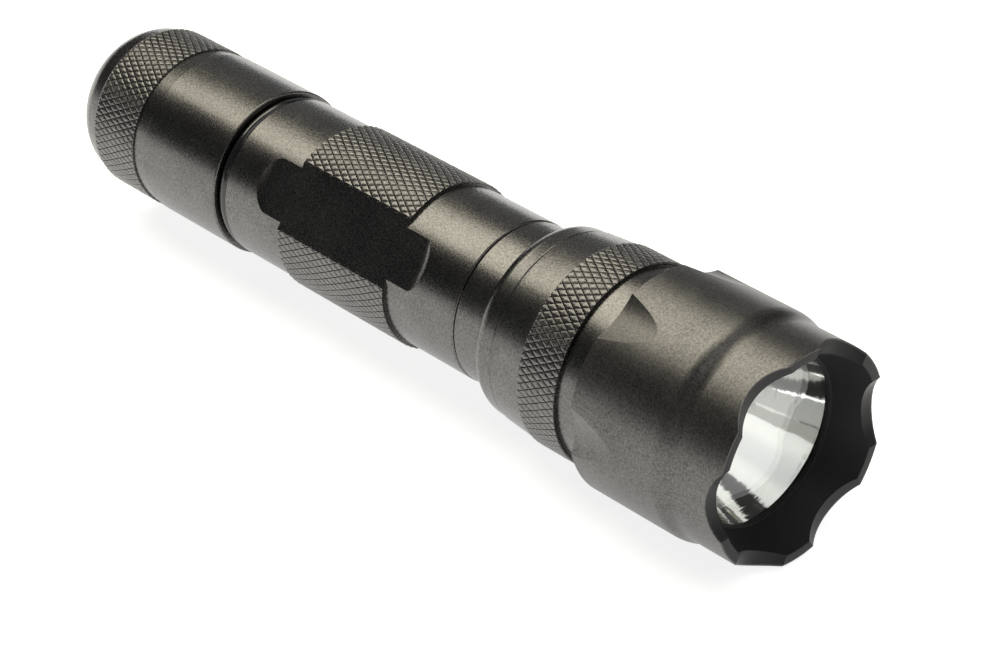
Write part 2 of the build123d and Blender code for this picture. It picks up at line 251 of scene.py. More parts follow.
@dataclass(frozen=True)
class Anodised:
    """Blasted and hard-anodised aluminium: near black, with a fine bright grain."""

    slot: str = "anodised_body"
    dark: Colour = (0.080, 0.078, 0.077)
    light: Colour = (0.200, 0.194, 0.186)
    roughness: float = 0.27
    grain: float = 0.3
    relief: float = 0.012
    shine: float = 0.15
    grain_contrast: float = 2.2
    cloud: float = 6.0
    cloud_contrast: float = 0.5

    def make(self) -> Material:
        """Build the material.

        Returns:
            The material.
        """
        shade = Shade(self.slot)
        speckle = shade.noise(self.grain, 3.0, 0.6)
        cloud = shade.noise(self.cloud, 2.0)
        tone = (speckle - 0.5) * self.grain_contrast + (cloud - 0.5) * self.cloud_contrast + 0.5
        colour, metallic = self._skin(shade, tone.clamped())
        return shade.surface({
            "Base Color": colour,
            "Metallic": metallic,
            "Specular IOR Level": self.shine,
            "Roughness": self.roughness + (cloud - 0.5) * 0.06 + (speckle - 0.5) * 0.12,
            "Normal": shade.bump(speckle, self.relief),
        })

    def _skin(self, shade: Shade, tone: Num) -> tuple[NodeSocket, Num | float]:
        """Colour and metallic share of the skin at a tone from 0 to 1."""
        return shade.between(tone, self.dark, self.light), 1.0


@dataclass(frozen=True)
class AnodisedWithPaintedMouthShade(Anodised):
    """The same skin on the bezel: duller outside, with painted shade inside the mouth, where the
    skin is made all but black and not metallic.
    """

    slot: str = "anodised_bezel"
    dark: Colour = (0.070, 0.069, 0.068)
    light: Colour = (0.195, 0.189, 0.181)
    roughness: float = 0.37
    # Colour of the painted shade inside the mouth.
    mouth: Colour = (0.027, 0.026, 0.027)
    mouth_x: float = 129.5
    outer_r: float = 15.8
    border: float = 0.25

    def _skin(self, shade: Shade, tone: Num) -> tuple[NodeSocket, Num | float]:
        """Paint shade into the mouth, which is found by its station and radius.

        Args:
            shade: Node tree of the material.
            tone: Tone of the skin, from 0 to 1.

        Returns:
            Colour and metallic share of the skin, with painted shade in the mouth.
        """
        parts = shade.node("ShaderNodeSeparateXYZ", inputs={0: shade.place()}).outputs
        x, y, z = (Num(shade, parts[axis]) for axis in "XYZ")
        z = z - AXIS_Z / MM
        radius = shade.maths("SQRT", y * y + z * z)
        forward = (x - (TAIL_X / MM + self.mouth_x)).clamped()
        # Mask of the mouth, where shade is painted.
        mouth = forward * ((self.outer_r - radius) * (1 / self.border)).clamped()
        skin = shade.between(tone, self.dark, self.light)
        # The painted shade takes the place of the skin and of its metal shine in the mouth.
        return shade.between(mouth, skin, self.mouth), 1.0 - mouth


@dataclass(frozen=True)
class Metal:
    """Bare or plated metal with faint turning marks."""

    slot: str
    colour: Colour
    roughness: float = 0.25
    relief: float = 0.002
    mark: float = 0.12
    stretch: tuple[float, float, float] = (1.0, 0.15, 0.15)
    dullest: float = 0.82

    def make(self) -> Material:
        """Build the material.

        Returns:
            The material.
        """
        shade = Shade(self.slot)
        marks = shade.noise(self.mark, 2.0, stretch=self.stretch)
        return shade.surface({
            "Base Color": shade.dulled(marks, self.colour, self.dullest),
            "Metallic": 1.0,
            "Roughness": self.roughness + (marks - 0.5) * 0.1,
            "Normal": shade.bump(marks, self.relief),
        })


@dataclass(frozen=True)
class Moulded:
    """Rubber, nylon, board or shrink film: a coloured skin with a fine texture."""

    slot: str
    colour: Colour
    roughness: float = 0.5
    texture: float = 0.2
    relief: float = 0.004
    coat: float = 0.0
    coat_roughness: float = 0.12
    dullest: float = 0.8

    def make(self) -> Material:
        """Build the material.

        Returns:
            The material.
        """
        shade = Shade(self.slot)
        skin = shade.noise(self.texture, 3.0, 0.6)
        return shade.surface({
            "Base Color": shade.dulled(skin, self.colour, self.dullest),
            "Roughness": self.roughness + (skin - 0.5) * 0.12,
            "Coat Weight": self.coat,
            "Coat Roughness": self.coat_roughness,
            "Normal": shade.bump(skin, self.relief),
        })


@dataclass(frozen=True)
class Mirror:
    """Vacuum-plated reflector: a bright mirror over faint turning rings and soft waves."""

    slot: str = "mirror_coat"
    colour: Colour = (0.93, 0.93, 0.91)
    roughness: float = 0.04
    relief: float = 0.02
    wave: float = 1.6
    ring: float = 0.35
    wave_share: float = 0.7
    dullest: float = 0.96

    def make(self) -> Material:
        """Build the material.

        Returns:
            The material.
        """
        shade = Shade(self.slot)
        waves = shade.noise(self.wave, 1.0)
        rings = shade.noise(self.ring, 1.0, stretch=(1.0, 0.02, 0.02))
        height = waves * self.wave_share + rings * (1 - self.wave_share)
        return shade.surface({
            "Base Color": shade.dulled(rings, self.colour, self.dullest),
            "Metallic": 1.0,
            "Roughness": self.roughness + rings * 0.04,
            "Normal": shade.bump(height, self.relief),
        })


@dataclass(frozen=True)
class Glass:
    """Clear glass or silicone."""

    slot: str
    tint: Colour = (0.98, 1.0, 1.0)
    ior: float = 1.5
    roughness: float = 0.0
    film: float = 9.0
    dullest: float = 0.97

    def make(self) -> Material:
        """Build the material.

        Returns:
            The material.
        """
        shade = Shade(self.slot)
        film = shade.noise(self.film, 1.0)
        return shade.surface({
            "Base Color": shade.dulled(film, self.tint, self.dullest),
            "Roughness": self.roughness,
            "IOR": self.ior,
            "Transmission Weight": 1.0,
        })


@dataclass(frozen=True)
class Phosphor:
    """White ceramic emitter base with a yellow phosphor patch in the middle."""

    slot: str = "led_ceramic"
    ceramic: Colour = (0.85, 0.85, 0.82)
    phosphor: Colour = (0.86, 0.72, 0.06)
    patch: float = 1.05
    roughness: float = 0.45
    grain: float = 0.08
    relief: float = 0.003

    def make(self) -> Material:
        """Build the material.

        Returns:
            The material.
        """
        shade = Shade(self.slot)
        parts = shade.node("ShaderNodeSeparateXYZ", inputs={0: shade.place()}).outputs
        across = shade.maths("ABSOLUTE", Num(shade, parts["Y"]))
        height = shade.maths("ABSOLUTE", Num(shade, parts["Z"]) - AXIS_Z / MM)
        inside = shade.maths("LESS_THAN", shade.maths("MAXIMUM", across, height), self.patch)
        grain = shade.noise(self.grain, 2.0)
        return shade.surface({
            "Base Color": shade.between(inside, self.ceramic, self.phosphor),
            "Roughness": self.roughness + (grain - 0.5) * 0.2,
            "Normal": shade.bump(grain, self.relief),
        })


@dataclass(frozen=True)
class Paper:
    """White paper of the studio's floor. It glows, so that the ground stays white."""

    slot: str = "floor_paper"
    shade: Colour = (0.89, 0.89, 0.895)
    white: Colour = (0.9, 0.9, 0.905)
    glow: float = 0.8
    roughness: float = 0.9
    fibre: float = 3.0

    def make(self) -> Material:
        """Build the material.

        Returns:
            The material.
        """
        shade = Shade(self.slot)
        fibre = shade.noise(self.fibre, 2.0)
        return shade.surface({
            "Base Color": shade.between(fibre, self.shade, self.white),
            "Emission Color": shade.between(fibre, (0.98, 0.98, 0.98), (1.0, 1.0, 1.0)),
            "Emission Strength": self.glow,
            "Roughness": self.roughness,
        })


FINISHES = (
    Anodised(),
    # Knurl skin: the body's anodised skin made lighter, a painted highlight for the light that the
    # knurls catch.
    Anodised("anodised_knurl", (0.104, 0.102, 0.101), (0.244, 0.237, 0.227), 0.36),
    # Bezel skin, with painted shade in its mouth.
    AnodisedWithPaintedMouthShade(),
    Moulded("seal_rubber", (0.012, 0.012, 0.013), 0.22, 0.3, 0.002, 0.6),
    Moulded("boot_rubber", (0.022, 0.022, 0.023), 0.55, 0.12, 0.006),
    Moulded("white_nylon", (0.72, 0.71, 0.67), 0.45),
    Moulded("black_nylon", (0.03, 0.03, 0.032), 0.4),
    Moulded("circuit_board", (0.03, 0.16, 0.07), 0.35, 0.4, 0.004, 0.3),
    Moulded("led_board", (0.8, 0.8, 0.78), 0.4, 0.4, 0.004, 0.3),
    Moulded("chip_plastic", (0.03, 0.03, 0.03), 0.45),
    Moulded("lead_cover", (0.55, 0.04, 0.03), 0.35),
    Moulded("cell_sleeve", (0.16, 0.2, 0.3), 0.3, 0.5, 0.004, 0.4),
    Metal("bright_aluminium", (0.78, 0.78, 0.79), 0.28),
    Metal("pill_brass", (0.72, 0.53, 0.24), 0.25),
    Metal("plated_spring", (0.75, 0.7, 0.55), 0.2),
    Metal("plated_steel", (0.72, 0.73, 0.75), 0.2),
    Metal("cell_core", (0.72, 0.73, 0.75), 0.22),
    Mirror(),
    Phosphor(),
    Glass("led_silicone", (0.97, 0.97, 0.93), 1.41, 0.02),
    Glass("lens_glass"),
)


class Palette:
    """Every finish as a material, by the record's slot names."""

    def __init__(self) -> None:
        """Build the materials and put them on the frame's own nodes."""
        self.materials = {finish.slot: finish.make() for finish in FINISHES}
        for part in frame["record"]["subparts"]:
            node = frame["nodes"][part["node"]]
            material = self.materials[part["material_slot"]]
            for index in range(max(1, len(node.material_slots))):
                if not node.material_slots:
                    node.data.materials.append(material)
                node.material_slots[index].material = material

    def __getitem__(self, slot: str) -> Material:
        """Material of a slot."""
        return self.materials[slot]


# ---------- mesh tools

def lathe(outline: Outline, steps: int = 192, closed: bool = True) -> BMesh:
    """Turn an outline about the torch's axis.

    Args:
        outline: Corners as stations and radii, with the width of the corner's rounding as a third
            number where it has one.
        steps: Facets round the axis.
        closed: Whether the last corner joins the first.

    Returns:
        The turned mesh, in torch coordinates.
    """
    bm = bmesh.new()
    corners = [bm.verts.new((corner[0], 0, corner[1])) for corner in outline]
    for first, second in zip(corners, corners[1:]):
        bm.edges.new((first, second))
    if closed:
        bm.edges.new((corners[-1], corners[0]))
    rounded = {vert: corner[2] for vert, corner in zip(corners, outline) if len(corner) > 2}
    for width in sorted(set(rounded.values())):
        bmesh.ops.bevel(bm, geom=[vert for vert in rounded if rounded[vert] == width], offset=width,
                        offset_type="OFFSET", segments=ROUND_STEPS, profile=0.5, affect="VERTICES",
                        material=-1)
    bmesh.ops.spin(bm, geom=list(bm.verts) + list(bm.edges), cent=(0, 0, 0), axis=AXIS,
                   angle=2 * pi, steps=steps, use_merge=True)
    bmesh.ops.remove_doubles(bm, verts=bm.verts, dist=WELD)
    return bm


def arc(start: Point, middle: Point, end: Point, steps: int = 12) -> list[Point]:
    """Work out the corners of a round arc through three points.

    Args:
        start: First point.
        middle: Any point between the ends.
        end: Last point.
        steps: Facets of the arc.

    Returns:
        The corners, both ends included.
    """
    a, b, c = (complex(*point) for point in (start, middle, end))
    w = (c - a) / (b - a)
    centre = a + (b - a) * (w - abs(w) ** 2) / (2j * w.imag)
    turn = phase((c - centre) / (a - centre))
    points = [centre + (a - centre) * rect(1, turn * i / steps) for i in range(steps + 1)]
    return [(point.real, point.imag) for point in points]


def helix(section: Outline, pitch: float, turns: float, facets: int = 72) -> BMesh:
    """Sweep a closed section round the torch's axis while it moves forwards.

    Args:
        section: Corners of the section as stations and radii.
        pitch: Advance of one turn.
        turns: Number of turns, kept to whole facets.
        facets: Facets of one turn.

    Returns:
        The closed sweep, in torch coordinates.
    """
    steps = int(facets * turns)
    bm = bmesh.new()
    corners = [bm.verts.new((x, 0, r)) for x, r in section]
    edges = [bm.edges.new((corners[i], corners[i - 1])) for i in range(len(corners))]
    cap = bm.faces.new(corners)
    ends = bmesh.ops.spin(bm, geom=corners + edges, cent=(0, 0, 0), axis=AXIS,
                          angle=2 * pi * steps / facets, steps=steps,
                          dvec=(pitch / facets, 0, 0))["geom_last"]
    bm.faces.new([vert for vert in ends if isinstance(vert, BMVert)])
    cap.normal_flip()
    return bm


def ring_section(station: float, radius: float, wire: float, corners: int) -> Outline:
    """Round section of a wire or an O-ring, as stations and radii."""
    return [(station + wire * cos(2 * pi * i / corners), radius + wire * sin(2 * pi * i / corners))
            for i in range(corners)]


def as_object(name: str, bm: BMesh) -> Object:
    """Put a mesh in the scene.

    Args:
        name: Name of the object.
        bm: Its mesh, freed here.

    Returns:
        The object.
    """
    mesh = bpy.data.meshes.new(name)
    bm.to_mesh(mesh)
    bm.free()
    shown = bpy.data.objects.new(name, mesh)
    bpy.context.collection.objects.link(shown)
    return shown


def milled(body: BMesh, cutters: Sequence[BMesh]) -> BMesh:
    """Cut shapes out of a mesh.

    Args:
        body: Closed mesh to cut, freed here.
        cutters: Closed shapes to take away, freed here.

    Returns:
        The cut mesh.
    """
    for solid in (body, *cutters):
        bmesh.ops.recalc_face_normals(solid, faces=solid.faces)
    workpiece, *tools = [as_object("workpiece", solid) for solid in (body, *cutters)]
    for tool in tools:
        cut = workpiece.modifiers.new("cut", "BOOLEAN")
        cut.operation = "DIFFERENCE"
        cut.solver = "EXACT"
        cut.object = tool
    result = bmesh.new()
    result.from_object(workpiece, bpy.context.evaluated_depsgraph_get())
    for scrap in (workpiece, *tools):
        bpy.data.meshes.remove(scrap.data)
    return result


def trim(bm: BMesh, point: Vector, outwards: Vector) -> None:
    """Cut away what lies outwards of a plane through a point, and leave the mesh open."""
    bmesh.ops.bisect_plane(bm, geom=list(bm.verts) + list(bm.edges) + list(bm.faces),
                           dist=ON_PLANE, plane_co=point, plane_no=outwards, clear_outer=True)


def rolls(first: float, count: int) -> list[Matrix]:
    """Turns about the torch's axis, spaced evenly from a first roll in degrees."""
    return [Matrix.Rotation(radians(first + 360 * i / count), 4, "X") for i in range(count)]


def sharp_edges(bm: BMesh, angle: float) -> list[BMEdge]:
    """Edges whose faces turn by more than an angle in degrees."""
    limit = radians(angle)
    return [edge for edge in bm.edges if edge.is_manifold and edge.calc_face_angle() > limit]


@dataclass
class Workshop:
    """Turns meshes into pieces that ride on the frame."""

    palette: Palette
    made: list[Object] = field(default_factory=list)

    def add(self, name: str, bm: BMesh, carrier: Body, slot: str,
            replaces: Sequence[str] = (), smooth: float = 12.0, weighted: bool = False,
            finishes: Sequence[str] = (), ride: bool = True) -> Object:
        """Finish a mesh as a piece.

        Args:
            name: Name of the piece.
            bm: Its mesh in torch coordinates, freed here.
            carrier: Frame body that it rides on.
            slot: Material slot of its finish.
            replaces: Frame nodes that it stands for.
            smooth: Edges that turn by less than this, in degrees, are shaded smooth.
            weighted: Whether large faces set the shading of the roundings beside them.
            finishes: Names of its finishes where they aren't just the slot's own.
            ride: Whether it rides on the body. A piece that bends between two bodies doesn't.

        Returns:
            The finished object.
        """
        bmesh.ops.transform(bm, matrix=TO_ROW, verts=bm.verts)
        bmesh.ops.recalc_face_normals(bm, faces=bm.faces)
        for face in bm.faces:
            face.smooth = smooth > 0
        for edge in sharp_edges(bm, max(smooth, FACETED)):
            edge.smooth = False
        piece = as_object(name, bm)
        for finish in finishes or (slot,):
            piece.data.materials.append(self.palette[finish])
        if weighted:
            weights = piece.modifiers.new("even_shading", "WEIGHTED_NORMAL")
            weights.keep_sharp = True
        body = carrier.value
        if ride:
            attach(piece, body)
        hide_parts(*replaces)
        self.made.append(piece)
        LOG.info("%s: %d faces, rides on %s", name, len(piece.data.polygons), body)
        return piece


# ---------- repeated features

@dataclass(frozen=True)
class Knurl:
    """Band of blunt diamonds between crossing grooves.

    Each wall is a step from the groove to the top: its width, and its share of the height.
    """

    start: float            # station of the rear edge
    end: float              # station of the front edge
    root: float             # radius at the bottom of the grooves
    crest: float            # radius at the tops of the diamonds
    count: int              # diamonds round the torch
    pitch: float = 2.0      # spacing of the diamonds along the torch
    walls: tuple[tuple[float, float], ...] = ((0.06, 0.72), (0.13, 0.17), (0.13, 0.11))
    depth: float = 0.1      # thickness of the sleeve under the grooves

    def mesh(self) -> BMesh:
        """Build the band as a closed sleeve.

        Returns:
            The sleeve, in torch coordinates.
        """
        columns = ceil((self.end - self.start) / self.pitch) + 2
        middle = (self.start + self.end) / 2
        first = middle - columns * self.pitch / 2
        line = [(first + self.pitch * i, self.root) for i in range(columns + 1)]
        bm = lathe(line, self.count, closed=False)
        grid = list(bm.edges)
        poked = bmesh.ops.poke(bm, faces=bm.faces)
        for vert in poked["verts"]:
            self._set_radius(vert, self.root)
        inner = [edge for edge in grid if edge.is_valid and edge.is_manifold]
        bmesh.ops.dissolve_edges(bm, edges=inner, use_verts=False)
        bmesh.ops.recalc_face_normals(bm, faces=bm.faces)
        height = self.crest - self.root
        tops = list(bm.faces)
        for width, share in self.walls:
            bmesh.ops.inset_individual(bm, faces=tops, thickness=width, depth=height * share,
                                       use_even_offset=True)
        self._close(bm)
        return bm

    @staticmethod
    def _set_radius(vert: BMVert, radius: float) -> None:
        """Move a corner straight out or in, to a radius."""
        scale = radius / sqrt(vert.co.y ** 2 + vert.co.z ** 2)
        vert.co.y, vert.co.z = vert.co.y * scale, vert.co.z * scale

    def _close(self, bm: BMesh) -> None:
        """Trim the band to its two stations, and give it end walls and an inner wall.

        Args:
            bm: The open band.
        """
        for station, outwards in ((self.start, -1), (self.end, 1)):
            trim(bm, Vector((station, 0, 0)), Vector((outwards, 0, 0)))
        rims = [edge for edge in bm.edges if edge.is_boundary]
        walls = bmesh.ops.extrude_edge_only(bm, edges=rims)["geom"]
        for vert in walls:
            if isinstance(vert, BMVert):
                self._set_radius(vert, self.root - self.depth)
        loops = [edge for edge in bm.edges if edge.is_boundary]
        bmesh.ops.bridge_loops(bm, edges=loops)


@dataclass(frozen=True)
class Thread:
    """Helical ridge of a screw thread on a plain stub."""

    start: float            # station where the ridge starts
    end: float              # station where it ends
    root: float             # radius of the stub
    height: float = 0.42
    pitch: float = 1.0      # advance of one turn
    foot: float = 0.47      # half the ridge's width at its foot, as a share of the pitch
    top: float = 0.08       # half its width at the top, as a share of the pitch
    depth: float = 0.1      # how far the ridge's foot sinks into the stub

    def mesh(self) -> BMesh:
        """Build the ridge as a closed solid.

        Returns:
            The ridge, in torch coordinates.
        """
        half = self.pitch * self.foot
        flat = self.pitch * self.top
        base, crest = self.root - self.depth, self.root + self.height
        section = [(self.start + half + x, r) for x, r in (
            (-half, base), (-flat, crest), (flat, crest), (half, base))]
        return helix(section, self.pitch, (self.end - self.start) / self.pitch - 1)


# ---------- sub-assemblies

@dataclass
class TailCap:
    """Tail cap: a domed shell with its knurl."""

    end_r: float = 7.8
    hole_r: float = 6.6
    dome_mid: Point = (1.9, 10.45)
    dome_end: Point = (4.6, 12.0)
    lip: tuple[Point, ...] = ((6.5, 12.36), (6.9, 12.58))
    under: float = 12.3
    knurl: Knurl = Knurl(6.95, 16.15, 12.5, 12.72, 70)
    cone: Point = (16.15, 12.45)
    line: tuple[Point, ...] = ((18.6, 12.53), (18.85, 12.7))
    rim_x: float = 35.1
    bore_x: float = 17.5
    bore_r: float = 11.48
    seat_x: float = 3.0
    cavity_r: float = 9.2
    hole_edge: float = 0.25
    rim_edge: float = 0.3

    def build(self, shop: Workshop) -> None:
        """Build the pieces of the tail cap.

        Args:
            shop: Workshop that finishes them.
        """
        shop.add("tail_cap_shell", lathe(self._outline()), Body.TAIL_CAP, "anodised_body",
                 ["tail_cap"], weighted=True)
        shop.add("tail_cap_knurl", self.knurl.mesh(), Body.TAIL_CAP, "anodised_body", smooth=0,
                 finishes=["anodised_knurl"])

    def _outline(self) -> Outline:
        """Work out the corners of the cap.

        Returns:
            The corners from the button's hole forwards outside, and back through the bore.
        """
        dome = arc((0, self.end_r), self.dome_mid, self.dome_end)
        lip_x, skirt_r = self.lip[1][0], self.line[1][1]
        return [(0, self.hole_r, self.hole_edge), *dome, *self.lip, (lip_x, self.under),
                (self.cone[0], self.under), self.cone, *self.line,
                (self.rim_x, skirt_r, self.rim_edge), (self.rim_x, self.bore_r),
                (self.bore_x, self.bore_r), (self.bore_x, self.cavity_r),
                (self.seat_x, self.cavity_r), (self.seat_x, self.hole_r)]


@dataclass
class Boot:
    """Rubber boot over the switch. Its dome moves with the button, its flange stays in the cap."""

    top: float = -1.4
    height: float = 1.6
    radius: float = 6.5
    middle: Point = (-0.994, 3.347)
    wall: float = 1.1
    hollow_bulge: float = 0.33
    hollow_height: float = 0.8
    seat: float = 3.0
    flange: Point = (4.2, 9.1)
    edge: float = 0.45
    rigid_top: float = 0.2
    facets: int = 144

    def build(self, shop: Workshop) -> None:
        """Build the boot, which rides on no body.

        Args:
            shop: Workshop that finishes it.
        """
        boot = shop.add("switch_boot_rubber", lathe(self._outline(), self.facets), Body.TAIL_CAP,
                        "boot_rubber", ["switch_boot"], smooth=30.0, ride=False)
        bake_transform(boot)

    def _outline(self) -> Outline:
        """Work out the corners of the boot.

        Returns:
            The corners over the dome to the flange, and back through the hollow.
        """
        dome = arc((self.top, 0), self.middle, (self.top + self.height, self.radius), 24)
        hollow_x, hollow_r = self.top + self.wall, self.radius - self.wall
        hollow = arc((hollow_x, 0), (hollow_x + self.hollow_bulge, hollow_r / 2),
                     (hollow_x + self.height * self.hollow_height, hollow_r), 16)
        return [*dome[:-1], (*dome[-1], self.edge), (self.seat, self.radius),
                (self.seat, self.flange[1]), self.flange, (self.flange[0], hollow_r),
                *reversed(hollow)]


@dataclass
class SwitchSpring:
    """Return spring of the switch. It gets shorter as the button goes in."""

    start: float = 8.37
    end: float = 11.38
    radius: float = 3.0
    wire: float = 0.25
    turns: float = 2.5
    travel: float = 1.8

    def build(self, shop: Workshop) -> None:
        """Build the spring and give it a mesh of its own.

        Args:
            shop: Workshop that finishes it.
        """
        length = self.end - self.start
        section = ring_section(self.start + self.wire, self.radius, self.wire, 12)
        wound = helix(section, (length - 2 * self.wire) / self.turns, self.turns)
        spring = shop.add("switch_return_spring", wound, Body.TAIL_CAP, "plated_spring",
                          ["switch_spring"], smooth=35.0)
        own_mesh(spring)


@dataclass
class Tube:
    """Battery tube with its knurl, milled flats, threads and the tail O-ring."""

    ends: Span = (18.5, 95.0)
    bore_r: float = 9.5
    rear_r: float = 12.2
    front_r: float = 12.1
    under: float = 12.42
    gap: Groove = (35.05, 37.0, 10.3)
    seam_x: float = 85.3
    groove: Groove = (87.0, 88.2, 9.9)
    edge: float = 0.3
    facets: int = 288
    knurl: Knurl = Knurl(49.35, 71.65, 12.45, 12.67, 70)
    flat_roll: float = 58.5
    flat_height: float = 11.46
    flat_x: Span = (42.3, 78.95)
    cutter_corner: float = 2.8
    cutter_reach: tuple[float, float] = (8.0, 5.0)    # half the width, and the height
    cutter_sweep: float = 14.0    # radius of the curved ends, seen from above
    cutter_slices: int = 32
    band_proud: float = 0.02
    tail_thread: Thread = Thread(22.0, 34.6, 11.4)
    head_thread: Thread = Thread(88.6, 94.6, 11.0)
    ring: tuple[float, float, float] = (36.05, 11.2, 0.85)    # station, radius, wire radius

    def build(self, shop: Workshop) -> None:
        """Build the pieces of the tube.

        Args:
            shop: Workshop that finishes them.
        """
        shell = milled(lathe(self._outline(), self.facets), self._cutters())
        shop.add("battery_tube_shell", shell, Body.TUBE, "anodised_body", ["battery_tube"],
                 smooth=8.0, weighted=True)
        band = self.knurl.mesh()
        self._mill(band)
        shop.add("battery_tube_knurl", band, Body.TUBE, "anodised_body", smooth=0,
                 finishes=["anodised_knurl", "anodised_body"])
        shop.add("battery_tube_tail_thread", self.tail_thread.mesh(), Body.TUBE, "anodised_body")
        shop.add("battery_tube_head_thread", self.head_thread.mesh(), Body.TUBE, "anodised_body")
        shop.add("tail_o_ring", self._o_ring(), Body.TUBE, "seal_rubber", ["tail_seal"])

    def _outline(self) -> Outline:
        """Work out the corners of the tube.

        Returns:
            The corners from the tail end forwards outside, and back through the bore.
        """
        thread, stub = self.tail_thread.root, self.head_thread.root
        (rear_x, front_x), (gap_x, shoulder_x, gap_r) = self.ends, self.gap
        groove_x, groove_end, groove_r = self.groove
        return [(rear_x, self.bore_r), (rear_x, thread, self.edge), (gap_x, thread),
                (gap_x, gap_r), (shoulder_x, gap_r), (shoulder_x, self.rear_r, self.edge),
                (self.knurl.start, self.rear_r), (self.knurl.start, self.under),
                (self.knurl.end, self.under), (self.knurl.end, self.front_r),
                (self.seam_x, self.front_r, self.edge), (self.seam_x, stub), (groove_x, stub),
                (groove_x, groove_r), (groove_end, groove_r), (groove_end, stub),
                (front_x, stub, self.edge), (front_x, self.bore_r)]

    def _cutters(self) -> list[BMesh]:
        """Shape the two opposite cutters of the milled flats.

        Returns:
            The cutters. The flat floor of each curves up at both rounded ends.
        """
        (start, end), corner = self.flat_x, self.cutter_corner
        width, height = self.cutter_reach
        bend = corner * (1 - cos(pi / 4))
        rear = arc((start, corner), (start + bend, bend), (start + corner, 0))
        front = [(start + end - x, z) for x, z in reversed(rear)]
        side = [(start, height), *rear, *front, (end, height)]
        cutters = []
        for roll in rolls(self.flat_roll, 2):
            bm = bmesh.new()
            face = bm.faces.new([bm.verts.new((x, -width, z)) for x, z in side])
            moved = bmesh.ops.extrude_face_region(bm, geom=[face])["geom"]
            bmesh.ops.translate(bm, vec=(0, 2 * width, 0),
                                verts=[v for v in moved if isinstance(v, BMVert)])
            across = [edge for edge in bm.edges
                      if abs(edge.verts[0].co.y - edge.verts[1].co.y) > width]
            bmesh.ops.subdivide_edges(bm, edges=across, cuts=self.cutter_slices - 1)
            for vert in bm.verts:
                pull = vert.co.y ** 2 / (2 * self.cutter_sweep)
                vert.co.x += pull if vert.co.x < (start + end) / 2 else -pull
            bmesh.ops.transform(bm, matrix=roll @ Matrix.Translation((0, 0, self.flat_height)),
                                verts=bm.verts)
            cutters.append(bm)
        return cutters

    def _mill(self, band: BMesh) -> None:
        """Cut the knurl away where the two milled flats run through it.

        Args:
            band: The closed sleeve of the knurl.
        """
        for turn in (0.0, 180.0):
            roll = radians(self.flat_roll + turn)
            out = Vector((0, -sin(roll), cos(roll)))
            trim(band, out * (self.flat_height + self.band_proud), out)
        open_edges = [edge for edge in band.edges if edge.is_boundary]
        for face in bmesh.ops.holes_fill(band, edges=open_edges, sides=0)["faces"]:
            face.material_index = 1

    def _o_ring(self) -> BMesh:
        """Round ring in the gap behind the tube's shoulder."""
        return lathe(ring_section(*self.ring, 40), self.facets // 2)


@dataclass
class Head:
    """Head with its flange, knurl and the bezel's thread."""

    rear_x: float = 85.36
    neck_r: float = 12.0
    neck_end: float = 90.6
    bead: tuple[Point, ...] = ((90.9, 12.9), (91.7, 13.75), (93.2, 14.15))
    step_x: float = 94.75
    step_rise: float = 0.13
    step_width: float = 0.25
    collar_x: float = 95.15
    collar: tuple[float, float] = (14.4, 14.85)    # rear and front radius
    under: float = 14.6
    knurl: Knurl = Knurl(100.85, 107.65, 14.81, 15.03, 82)
    front_neck_r: float = 14.45
    seat_x: float = 112.0
    groove: Groove = (113.8, 115.0, 13.0)
    front_x: float = 122.0
    edge: float = 0.3
    step_edge: float = 0.08
    collar_edge: float = 0.05
    seat_edge: float = 0.1
    bore_r: float = 12.3
    shoulder_x: float = 94.5
    socket_r: float = 11.08
    thread: Thread = Thread(115.4, 121.6, 14.1)
    facets: int = 224

    def build(self, shop: Workshop) -> None:
        """Build the pieces of the head.

        Args:
            shop: Workshop that finishes them.
        """
        shell = lathe(self._outline(), self.facets)
        shop.add("head_shell", shell, Body.HEAD, "anodised_body", ["head"], weighted=True)
        shop.add("head_knurl", self.knurl.mesh(), Body.HEAD, "anodised_body", smooth=0,
                 finishes=["anodised_knurl"])
        shop.add("head_bezel_thread", self.thread.mesh(), Body.HEAD, "anodised_body")

    def _outline(self) -> Outline:
        """Work out the corners of the head.

        Returns:
            The corners from the rear end forwards outside, and back through the bore.
        """
        crest, stub = self.bead[2][1], self.thread.root
        groove_x, groove_end, groove_r = self.groove
        return [(self.rear_x, self.neck_r, self.edge), (self.neck_end, self.neck_r),
                *arc(*self.bead), (self.step_x, crest + self.step_rise, self.step_edge),
                (self.step_x + self.step_width, crest), (self.collar_x, self.collar[0]),
                (self.knurl.start, self.collar[1], self.collar_edge),
                (self.knurl.start, self.under), (self.knurl.end, self.under),
                (self.knurl.end, self.front_neck_r),
                (self.seat_x, self.front_neck_r, self.seat_edge), (self.seat_x, stub),
                (groove_x, stub), (groove_x, groove_r), (groove_end, groove_r),
                (groove_end, stub), (self.front_x, stub, self.edge), (self.front_x, self.bore_r),
                (self.shoulder_x, self.bore_r), (self.shoulder_x, self.socket_r),
                (self.rear_x, self.socket_r)]


